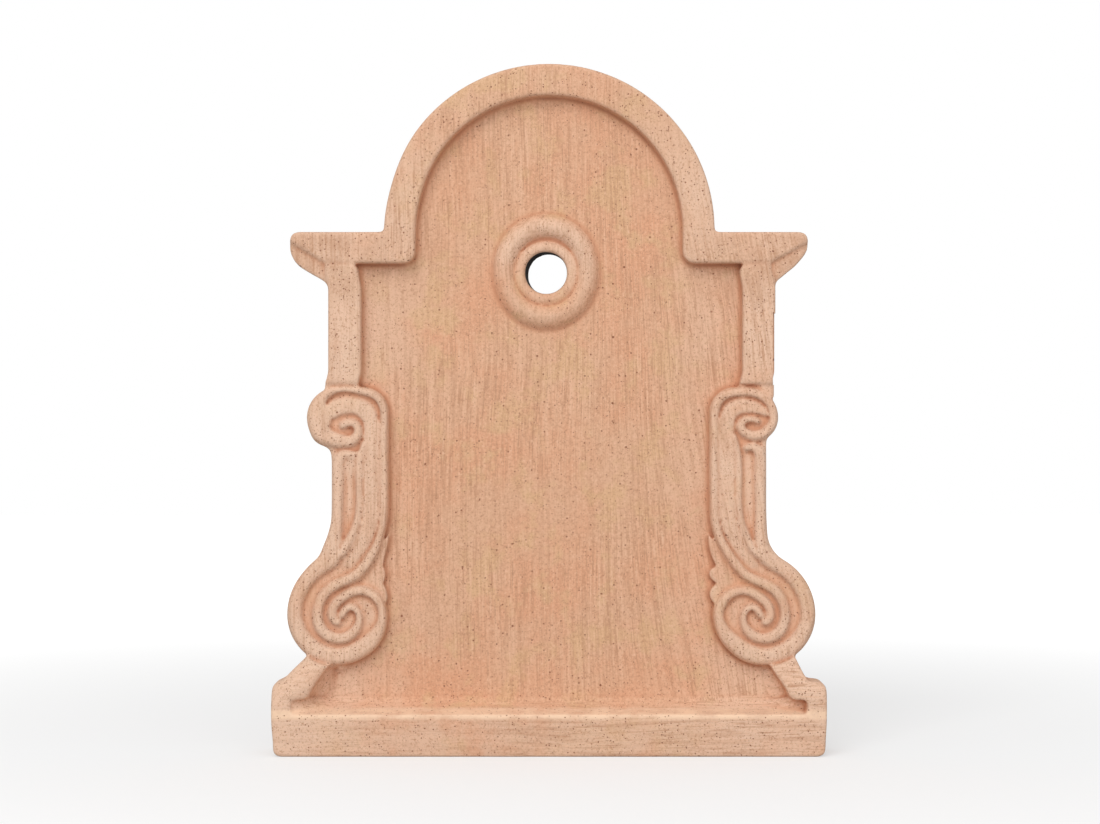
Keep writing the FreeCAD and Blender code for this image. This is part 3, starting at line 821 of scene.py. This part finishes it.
def soft_share(points):
    """How far each place is rounded: most on the arch, the boss and the foot."""
    x, z = points[:, 0], points[:, 2]
    from_spout = np.hypot(x - SPOUT.x, z - SPOUT.z)
    arch = step(z, CORNICE[0].z - 10 * MM, CORNICE[1].z + 20 * MM)
    boss = 1 - step(from_spout, 50 * MM, 80 * MM)
    foot = 1 - step(z, CONSOLE[0].z - 20 * MM, CONSOLE[0].z)
    stem = 0.5 * band(z, *STEM_SPAN)
    hook = near_to(z, HOOK_Z, 7 * MM) * step(-x, *HOOK_SIDE)
    most = np.max((arch, boss, foot, stem, hook), axis=0)
    return (LEAST_SOFT + MORE_SOFT * most)[:, None]


def soften(mesh, times):
    """Rounds the surface as worn press-moulded clay, and keeps its normals."""
    points = read(mesh.vertices, "co", 3)
    edges = read(mesh.edges, "vertices", 2, np.int32)
    softer = evened(points, edges, times, soft_share(points))
    mesh.vertices.foreach_set("co", softer.ravel())
    mesh.update()
    normals = read(mesh.vertex_normals, "vector", 3)
    layer = mesh.attributes.new("soft_normal", "FLOAT_VECTOR", "POINT")
    layer.data.foreach_set("vector", normals.ravel())


# The straps' middle line, as on the right side
STRAP_LINE = (
    (STRAP[1].x - 24 * MM, STRAP[0].z + 12 * MM),
    (STRAP[1].x - 71 * MM, STRAP[0].z + 70 * MM),
)
STRAP_HALF_WIDTH = 16 * MM


def strap_crown(x, z, side):
    """Squared distance from a strap's middle line, where 1 is its edge."""
    low, high = [(side * line_x, line_z) for line_x, line_z in STRAP_LINE]
    run, rise = high[0] - low[0], high[1] - low[1]
    off = ((x - low[0]) * rise - (z - low[1]) * run) / math.hypot(run, rise)
    on_strap = step(side * x, STRAP[0].x - 12 * MM, STRAP[0].x - 4 * MM)
    on_strap = on_strap * step(z, STRAP[0].z - 12 * MM, STRAP[0].z + 2 * MM)
    from_volute = np.hypot(side * x - VOLUTE_X, z - VOLUTE_Z)
    on_strap = on_strap * step(from_volute, VOLUTE_RADIUS, VOLUTE_RADIUS + 5 * MM)
    on_strap = on_strap * (1 - step(z, 0.11, 0.13))
    return np.clip(off / STRAP_HALF_WIDTH, -1.2, 1.2) ** 2 * on_strap


# How far the straps fall off at their edges
STRAP_FALLS = ((-1, 7.0 * MM), (1, 2.5 * MM))

# How far volutes and pilasters lie to the right, and between which heights
VOLUTE_SHIFT = 2.3 * MM
VOLUTE_SPAN = (0.080, 0.105, 0.190, 0.250)
PILASTER_SHIFT = 2.8 * MM
PILASTER_SPAN = (0.370, 0.385, 0.465, 0.485)

# Sways of the clay: place x and z, reach in x and z, push in x, all in metres
SWAYS = (
    (-0.222, 0.209, 0.022, 0.013, -0.0075),
    (-0.230, 0.311, 0.010, 0.008, -0.0030),
    (-0.155, 0.572, 0.030, 0.030, 0.0018),
    (0.249, 0.492, 0.020, 0.008, -0.0040),
    (-0.158, 0.185, 0.006, 0.024, -0.0060),
    (-0.278, 0.010, 0.008, 0.012, 0.0020),
    (0.278, 0.008, 0.008, 0.014, -0.0015),
)


def settle(mesh):
    """Sways of the soft clay before firing, by 10 mm at most, and ripples."""
    points = read(mesh.vertices, "co", 3)
    x, y, z = points.T
    out = abs(x)
    volute = band(z, *VOLUTE_SPAN) * step(out, 0.14, 0.18)
    pilaster = band(z, *PILASTER_SPAN) * step(out, 0.17, 0.19)
    shift = VOLUTE_SHIFT * volute + PILASTER_SHIFT * pilaster
    for place_x, place_z, reach_x, reach_z, push in SWAYS:
        shift = shift + push * near_to(x, place_x, reach_x) * near_to(z, place_z, reach_z)
    raised = step(-y, -FIELD_Y, -FIELD_Y + 8 * MM)
    fall = sum(most * strap_crown(x, z, side) for side, most in STRAP_FALLS)
    x += shift
    y += fall * raised

    # Ripples, held inside the CAD box
    front = step(-y, -FIELD_Y + 2 * MM, -FIELD_Y + 9 * MM)
    ripple = np.sin(61 * x + 1.3) * np.sin(53 * z + 0.4) + np.sin(97 * x - 83 * z + 2.1)
    fine = np.sin(231 * x + 187 * z) * np.sin(211 * z - 167 * x + 0.9)
    y += (0.16 * ripple + 0.10 * fine + 0.36) * MM * front
    for values, low, high in zip((x, y, z), *CAD_BOX):
        np.clip(values, low, high, out=values)
    mesh.vertices.foreach_set("co", np.stack((x, y, z), axis=1).ravel())
    mesh.update()


# Parting the clay into pieces

# Points this near to a cutting plane count as on it
CUT_SNAP = 1e-7


def in_spout_hole(face):
    """True for a closing face that would block the spout's slanting hole."""
    middle = face.calc_center_median()
    deep = min(1.0, max(0.0, (middle.y - FIELD_Y) / (BACK_Y - FIELD_Y)))
    off = middle - SPOUT - BORE_LEAN * deep
    return math.hypot(off.x, off.z) < HOLE + 0.2 * MM and abs(face.normal.y) > 0.9


def part_at(bm, point, normal):
    """Drops what lies beyond a plane and closes the cut with a flat face."""
    geometry = bm.verts[:] + bm.edges[:] + bm.faces[:]
    result = bmesh.ops.bisect_plane(
        bm,
        geom=geometry,
        dist=CUT_SNAP,
        plane_co=point,
        plane_no=normal,
        clear_outer=True,
    )
    cut = [item for item in result["geom_cut"] if isinstance(item, bmesh.types.BMEdge)]
    if not cut:
        return
    filled = bmesh.ops.triangle_fill(bm, use_beauty=True, use_dissolve=False, edges=cut)
    faces = [item for item in filled["geom"] if isinstance(item, bmesh.types.BMFace)]
    wanted = Vector(normal)
    blocked = [face for face in faces if in_spout_hole(face)]
    bmesh.ops.delete(bm, geom=blocked, context="FACES")
    for face in faces:
        if not face.is_valid:
            continue
        face.smooth = False
        face.normal_update()
        if face.normal.dot(wanted) < 0:
            face.normal_flip()


def islands(bm):
    """Groups of faces that hang together."""
    left = set(bm.faces)
    groups = []
    while left:
        start = left.pop()
        group = [start]
        ahead = [start]
        while ahead:
            face = ahead.pop()
            for edge in face.edges:
                for other in edge.link_faces:
                    if other in left:
                        left.remove(other)
                        group.append(other)
                        ahead.append(other)
        groups.append(group)
    return groups


def keep_islands(bm, wanted):
    """Keeps the islands whose middle passes a test."""
    dropped = []
    for group in islands(bm):
        middle = Vector()
        for face in group:
            middle += face.calc_center_median()
        if not wanted(middle / len(group)):
            dropped += group
    bmesh.ops.delete(bm, geom=dropped, context="FACES")


def finish_piece(bm, name, material, nodes):
    """Makes the parted clay an object that stands for its CAD nodes."""
    loose = [vert for vert in bm.verts if not vert.link_faces]
    bmesh.ops.delete(bm, geom=loose, context="VERTS")
    bmesh.ops.triangulate(bm, faces=bm.faces)
    if not bm.faces:
        raise RuntimeError(name + " has no surface")
    mesh = bpy.data.meshes.new(name)
    bm.to_mesh(mesh)
    bm.free()
    soft = read(mesh.attributes["soft_normal"].data, "vector", 3)
    length = np.linalg.norm(soft, axis=1, keepdims=True)
    soft = soft / np.maximum(length, 1e-9)
    corners = read(mesh.loops, "vertex_index", 1, np.int32).ravel()
    smooth = read(mesh.polygons, "use_smooth", 1, bool).ravel()
    shown = np.repeat(smooth, read(mesh.polygons, "loop_total", 1, np.int32).ravel())
    split = np.where(shown[:, None], soft[corners], 0.0)
    mesh.normals_split_custom_set(split.tolist())
    mesh.attributes.remove(mesh.attributes["soft_normal"])
    piece = bpy.data.objects.new(name, mesh)
    bpy.context.scene.collection.objects.link(piece)
    mesh.materials.append(material)
    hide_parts(*nodes)
    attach(piece, "root")
    return piece


def clay_part(*planes, source="pressed_clay"):
    """Copy of the pressed clay, parted at planes of (point, outward normal)."""
    bm = bmesh.new()
    bm.from_mesh(bpy.data.meshes[source])
    for point, normal in planes:
        part_at(bm, point, normal)
    return bm


def above(z):
    return ((0, 0, z), (0, 0, -1))


def below(z):
    return ((0, 0, z), (0, 0, 1))


def before(y):
    """Keeps what is nearer the front than y."""
    return ((0, y, 0), (0, 1, 0))


def behind(y):
    return ((0, y, 0), (0, -1, 0))


def beyond(x, side):
    """Keeps what is further out than x on one side."""
    return ((side * x, 0, 0), (-side, 0, 0))


def within(x, side):
    """Keeps what is nearer the middle than x on one side."""
    return ((side * x, 0, 0), (side, 0, 0))


def store(bm, name):
    """Keeps a parted stage of the clay for further parting."""
    mesh = bpy.data.meshes.new(name)
    bm.to_mesh(mesh)
    bm.free()


class FOUNTAIN_OT_press_clay(bpy.types.Operator):
    """Press all the pieces of the frame into one soft clay body"""

    bl_idname = "fountain.press_clay"
    bl_label = "Press the clay"

    def execute(self, context):
        settings = context.scene.clay_settings

        def shape(name, piece):
            for vert in piece.verts:
                across, up = vert.co.x - SPOUT.x, vert.co.z - SPOUT.z
                reach = math.hypot(across, up)
                if name == "spout_boss":
                    across *= settings.boss_width
                    up = up * settings.boss_height + 1.4 * MM
                    vert.co.x, vert.co.z = SPOUT.x + across, SPOUT.z + up
                elif name == "field_slab" and reach < HOLE + MM and vert.co.y > MIDDLE_Y:
                    vert.co += BORE_LEAN

        bm = merged_copy(sorted(frame["nodes"]), shape)
        add_foot_clay(bm)
        add_scroll_clay(bm)
        for name, voxel in (
            ("pressed_clay", settings.voxel),
            ("pressed_back", settings.back_voxel),
        ):
            mesh = remeshed(bm, voxel)
            mesh.name = name
            mesh.polygons.foreach_set("use_smooth", [True] * len(mesh.polygons))
            settle(mesh)
            mark_relief(mesh)
            scale = (settings.voxel / voxel) ** 2
            soften(mesh, round(settings.softness * scale))
        bm.free()
        front = FIELD_Y - settings.lip
        rear = BACK_Y + settings.lip
        low = above(PLINTH_TOP)
        store(clay_part(low, before(front)), "clay_relief")
        store(clay_part(low, behind(front), before(MIDDLE_Y)), "clay_slab")
        back = clay_part(low, behind(MIDDLE_Y), before(rear), source="pressed_back")
        store(back, "clay_slab_back")
        store(clay_part(low, behind(rear), source="pressed_back"), "clay_back")
        return {"FINISHED"}


class FOUNTAIN_OT_base(bpy.types.Operator):
    """Plinth, its end blocks and the slanting straps"""

    bl_idname = "fountain.base"
    bl_label = "Base"

    def execute(self, context):
        material = bpy.data.materials["terracotta_level_brush"]
        bm = clay_part(below(PLINTH_TOP))
        finish_piece(bm, "plinth_clay", material, ["plinth"])
        block_top = STRAP[0].z
        for side, sign in SIDES.items():
            bm = clay_part(below(block_top), beyond(FOOT_SIDE, sign), source="clay_relief")
            name = side + "_block_clay"
            finish_piece(bm, name, material, [side + "_plinth_block"])
            bm = clay_part(
                above(block_top),
                strap_cut(sign, 1),
                beyond(FOOT_SIDE, sign),
                source="clay_relief",
            )
            finish_piece(bm, side + "_strap_clay", material, [side + "_strap"])
        return {"FINISHED"}


# Where a strap starts, as an angle round the right volute
STRAP_START = math.radians(-62)


def strap_cut(sign, keep):
    """Plane that touches the volute where the strap starts."""
    across, up = math.cos(STRAP_START), math.sin(STRAP_START)
    reach = VOLUTE_RADIUS + 0.5 * MM
    point = (sign * (VOLUTE_X + reach * across), 0, VOLUTE_Z + reach * up)
    return point, (-keep * sign * across, 0, -keep * up)


CONSOLE_PARTS = (
    "console_body",
    "outer_strand",
    "inner_strand",
    "middle_strand",
    "stem_band",
    "leaf_sprig",
)

# Consoles lie further out than this
CONSOLE_SIDE = 0.12


class FOUNTAIN_OT_consoles(bpy.types.Operator):
    """Scroll consoles with their strands and leaf sprigs"""

    bl_idname = "fountain.consoles"
    bl_label = "Consoles"

    def execute(self, context):
        material = bpy.data.materials["terracotta_upright_brush"]
        for side, sign in SIDES.items():
            bm = clay_part(
                below(JOINT_Z),
                above(CONSOLE[0].z - 5 * MM),
                beyond(CONSOLE_SIDE, sign),
                strap_cut(sign, -1),
                source="clay_relief",
            )
            nodes = [side + "_" + part for part in CONSOLE_PARTS]
            finish_piece(bm, side + "_console_clay", material, nodes)
        return {"FINISHED"}


# How much the crease rises from the pilaster to the cornice's end
CREASE_RISE = 21 * MM

# Half the width of the square round the boss
BOSS_HALF = 70 * MM


def crease_cut(sign, keep):
    """Plane through the mitre crease between a cornice and its ear."""
    run = CORNICE[1].x - PILASTER[1].x
    length = math.hypot(run, CREASE_RISE)
    normal = (sign * CREASE_RISE / length, 0, -run / length)
    point = (sign * PILASTER[1].x, 0, PILASTER[1].z)
    return point, tuple(keep * value for value in normal)


class FOUNTAIN_OT_border(bpy.types.Operator):
    """Arch band, cornices, ears and pilasters"""

    bl_idname = "fountain.border"
    bl_label = "Border"

    def execute(self, context):
        material = bpy.data.materials["terracotta_upright_brush"]
        leg_x = ARCH[1].x
        under = PILASTER[1].z
        low = above(under - 30 * MM)
        bm = clay_part(low, within(leg_x, 1), within(leg_x, -1), source="clay_relief")
        keep_islands(bm, lambda middle: (middle - SPOUT).length > BOSS_HALF)
        finish_piece(bm, "arch_clay", material, ["arch_moulding"])
        for side, sign in SIDES.items():
            bm = clay_part(
                above(under),
                beyond(leg_x, sign),
                crease_cut(sign, 1),
                source="clay_relief",
            )
            finish_piece(bm, side + "_cornice_clay", material, [side + "_cornice"])
            bm = clay_part(
                beyond(PILASTER[1].x, sign),
                above(under - 50 * MM),
                crease_cut(sign, -1),
                source="clay_relief",
            )
            finish_piece(bm, side + "_ear_clay", material, [side + "_cornice_ear"])
            bm = clay_part(
                below(under),
                beyond(leg_x, sign),
                within(PILASTER[1].x, sign),
                above(JOINT_Z),
                source="clay_relief",
            )
            finish_piece(bm, side + "_pilaster_clay", material, [side + "_pilaster"])
        return {"FINISHED"}


class FOUNTAIN_OT_spout(bpy.types.Operator):
    """Boss and collar round the spout's hole"""

    bl_idname = "fountain.spout"
    bl_label = "Spout boss"

    def execute(self, context):
        material = bpy.data.materials["terracotta_upright_brush"]
        bm = clay_part(
            above(SPOUT.z - BOSS_HALF),
            below(SPOUT.z + BOSS_HALF),
            within(BOSS_HALF, 1),
            within(BOSS_HALF, -1),
            source="clay_relief",
        )
        finish_piece(bm, "spout_boss_clay", material, ["spout_boss", "spout_collar"])
        return {"FINISHED"}


class FOUNTAIN_OT_slab(bpy.types.Operator):
    """Plain slab behind the relief"""

    bl_idname = "fountain.slab"
    bl_label = "Field slab"

    def execute(self, context):
        material = bpy.data.materials["terracotta_upright_brush"]
        bm = clay_part(source="clay_slab")
        finish_piece(bm, "field_slab_clay", material, ["field_slab"])
        sides = (within(FOOT_SIDE, 1), within(FOOT_SIDE, -1))
        bm = clay_part(below(FOOT_TOP), *sides, source="clay_relief")
        finish_piece(bm, "field_cove_clay", material, ["field_slab"])
        bm = clay_part(source="clay_slab_back")
        finish_piece(bm, "field_slab_back_clay", material, ["field_slab"])
        return {"FINISHED"}


# Width of the side rims, clay kept over each rib's edges, and how far over the
# upper rib the rims turn in with the arch
RIM_WIDTH = 22 * MM
RIB_EDGE = 6 * MM
RIM_TURN = 30 * MM


class FOUNTAIN_OT_back(bpy.types.Operator):
    """Rims and ribs on the back"""

    bl_idname = "fountain.back"
    bl_label = "Back rims"

    def execute(self, context):
        material = bpy.data.materials["terracotta_level_brush"]
        top = ARCH_RIM[0].z
        bm = clay_part(above(top), source="clay_back")
        finish_piece(bm, "arch_back_rim_clay", material, ["arch_back_rim"])
        inner = RIM[1].x - RIM_WIDTH
        for name in ("upper_back_rib", "lower_back_rib"):
            low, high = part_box(name)
            bm = clay_part(
                above(low.z - RIB_EDGE),
                below(high.z + RIB_EDGE),
                within(inner, 1),
                within(inner, -1),
                source="clay_back",
            )
            finish_piece(bm, name + "_clay", material, [name])
        for side, sign in SIDES.items():
            bm = clay_part(below(top), beyond(0, sign), source="clay_back")
            split_off_ribs(bm, inner * sign)
            finish_piece(bm, side + "_back_rim_clay", material, [side + "_back_rim"])
        return {"FINISHED"}


def split_off_ribs(bm, x):
    """Cuts the ribs off a back rim and closes their stumps."""
    geometry = bm.verts[:] + bm.edges[:] + bm.faces[:]
    bmesh.ops.bisect_plane(
        bm, geom=geometry, dist=CUT_SNAP, plane_co=(x, 0, 0), plane_no=(1, 0, 0)
    )
    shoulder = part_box("upper_back_rib")[1].z + RIM_TURN
    ribs = []
    for face in bm.faces:
        middle = face.calc_center_median()
        if abs(middle.x) < abs(x) and middle.z < shoulder:
            ribs.append(face)
    bmesh.ops.delete(bm, geom=ribs, context="FACES")
    rim = [edge for edge in bm.edges if edge.is_boundary]
    for face in bmesh.ops.holes_fill(bm, edges=rim)["faces"]:
        face.smooth = False


class FOUNTAIN_OT_finishes(bpy.types.Operator):
    """Terracotta finishes, brushed upright or level"""

    bl_idname = "fountain.finishes"
    bl_label = "Finishes"

    def execute(self, context):
        tones = mixed_tones(context.scene.finish_settings)
        groups = {"streaks": brush_streak_group(), "pores": pore_group()}
        terracotta("terracotta_upright_brush", "z", tones, groups)
        terracotta("terracotta_level_brush", "x", tones, groups)
        return {"FINISHED"}


# Soft boxes: name, place, side in metres, power in watts
SOFT_BOXES = (
    ("softbox_above", (-1.5, -4.2, 3.5), 3.0, 140.0),
    ("softbox_front", (0.9, -3.2, 0.4), 2.4, 38.0),
)
AIM = Vector((0, 0, 0.35))
CAMERA_PLACE = (0.001, -2.6195, 0.3431)
CAMERA_LENS = 85.1
AMBIENT = 0.61
FLOOR_HALF = 6
FLOOR_GREY = 0.5

# The floor's glow: distances where it starts to rise and is full, and both glows
FLOOR_GLOW = (0.3, 2.5, 0.45, 0.80)


class FOUNTAIN_OT_stage(bpy.types.Operator):
    """Pale floor, soft light and camera"""

    bl_idname = "fountain.stage"
    bl_label = "Stage"

    def execute(self, context):
        scene = context.scene
        bm = bmesh.new()
        bmesh.ops.create_grid(bm, x_segments=1, y_segments=1, size=FLOOR_HALF)
        mesh = bpy.data.meshes.new("floor")
        bm.to_mesh(mesh)
        bm.free()
        floor = bpy.data.objects.new("floor", mesh)
        scene.collection.objects.link(floor)
        mesh.materials.append(floor_material())
        white_world(scene)
        for row in SOFT_BOXES:
            soft_light(scene, *row)
        camera = bpy.data.cameras.new("camera")
        camera.sensor_width = 36.0
        camera.lens = CAMERA_LENS
        camera.clip_end = 50
        viewer = bpy.data.objects.new("camera", camera)
        viewer.location = CAMERA_PLACE
        viewer.rotation_euler = (math.pi / 2, 0, 0)
        scene.collection.objects.link(viewer)
        scene.camera = viewer
        scene.view_settings.view_transform = "Standard"
        return {"FINISHED"}


def camera_or_mirror(tree):
    """1 for rays that come straight from the camera, or by gloss or glass."""
    path = add(tree, "ShaderNodeLightPath")
    seen = math_node(
        tree, "MAXIMUM", path.outputs["Is Camera Ray"], path.outputs["Is Glossy Ray"]
    )
    return math_node(tree, "MAXIMUM", seen, path.outputs["Is Transmission Ray"])


def floor_material():
    """Pale matt floor that reads as white and still takes a shadow."""
    material = bpy.data.materials.new("pale_floor")
    material.use_nodes = True
    tree = material.node_tree
    tree.nodes.clear()
    grey = (FLOOR_GREY, FLOOR_GREY, FLOOR_GREY, 1)
    matt = add(tree, "ShaderNodeBsdfDiffuse", inputs={"Color": grey})
    glow = add(tree, "ShaderNodeEmission")
    place = add(tree, "ShaderNodeTexCoord").outputs["Object"]
    away = add(tree, "ShaderNodeVectorMath", operation="LENGTH", inputs={0: place})
    level = spread(tree, away.outputs["Value"], *FLOOR_GLOW)
    seen = math_node(tree, "MULTIPLY", camera_or_mirror(tree), level)
    tree.links.new(seen, glow.inputs["Strength"])
    both = add(tree, "ShaderNodeAddShader", inputs={0: matt.outputs[0], 1: glow.outputs[0]})
    leave = add(tree, "ShaderNodeOutputMaterial")
    tree.links.new(both.outputs[0], leave.inputs[0])
    return material


def white_world(scene):
    """World that looks white and lights the panel a little less."""
    world = bpy.data.worlds.new("white_room")
    world.use_nodes = True
    tree = world.node_tree
    tree.nodes.clear()
    back = add(tree, "ShaderNodeBackground", inputs={"Color": (1, 1, 1, 1)})
    strength = spread(tree, camera_or_mirror(tree), 0.0, 1.0, AMBIENT, 1.0)
    tree.links.new(strength, back.inputs["Strength"])
    leave = add(tree, "ShaderNodeOutputWorld")
    tree.links.new(back.outputs[0], leave.inputs[0])
    scene.world = world


def soft_light(scene, name, place, size, power):
    """Square soft box that faces the middle of the panel."""
    lamp = bpy.data.lights.new(name, "AREA")
    lamp.shape = "SQUARE"
    lamp.size = size
    lamp.energy = power
    box = bpy.data.objects.new(name, lamp)
    box.location = place
    box.rotation_euler = (AIM - Vector(place)).to_track_quat("-Z", "Y").to_euler()
    scene.collection.objects.link(box)


class FOUNTAIN_PT_panel(bpy.types.Panel):
    """Lists the fountain's settings and steps"""

    bl_label = "Garden wall fountain"
    bl_idname = "FOUNTAIN_PT_panel"
    bl_space_type = "VIEW_3D"
    bl_region_type = "UI"
    bl_category = "Fountain"

    def draw(self, context):
        layout = self.layout
        for settings in (context.scene.clay_settings, context.scene.finish_settings):
            for key in settings.__annotations__:
                layout.prop(settings, key)
        for step_class in STEPS:
            layout.operator(step_class.bl_idname)


STEPS = (
    FOUNTAIN_OT_finishes,
    FOUNTAIN_OT_press_clay,
    FOUNTAIN_OT_base,
    FOUNTAIN_OT_consoles,
    FOUNTAIN_OT_border,
    FOUNTAIN_OT_spout,
    FOUNTAIN_OT_slab,
    FOUNTAIN_OT_back,
    FOUNTAIN_OT_stage,
)
CLASSES = (ClaySettings, FinishSettings, *STEPS, FOUNTAIN_PT_panel)


def register():
    for item in CLASSES:
        bpy.utils.register_class(item)
    bpy.types.Scene.clay_settings = PointerProperty(type=ClaySettings)
    bpy.types.Scene.finish_settings = PointerProperty(type=FinishSettings)


def unregister():
    del bpy.types.Scene.finish_settings
    del bpy.types.Scene.clay_settings
    for item in reversed(CLASSES):
        bpy.utils.unregister_class(item)


def main():
    register()
    for step_class in STEPS:
        group, name = step_class.bl_idname.split(".")
        getattr(getattr(bpy.ops, group), name)()
    for name in STAGES:
        bpy.data.meshes.remove(bpy.data.meshes[name])


if __name__ == "__main__":
    main()
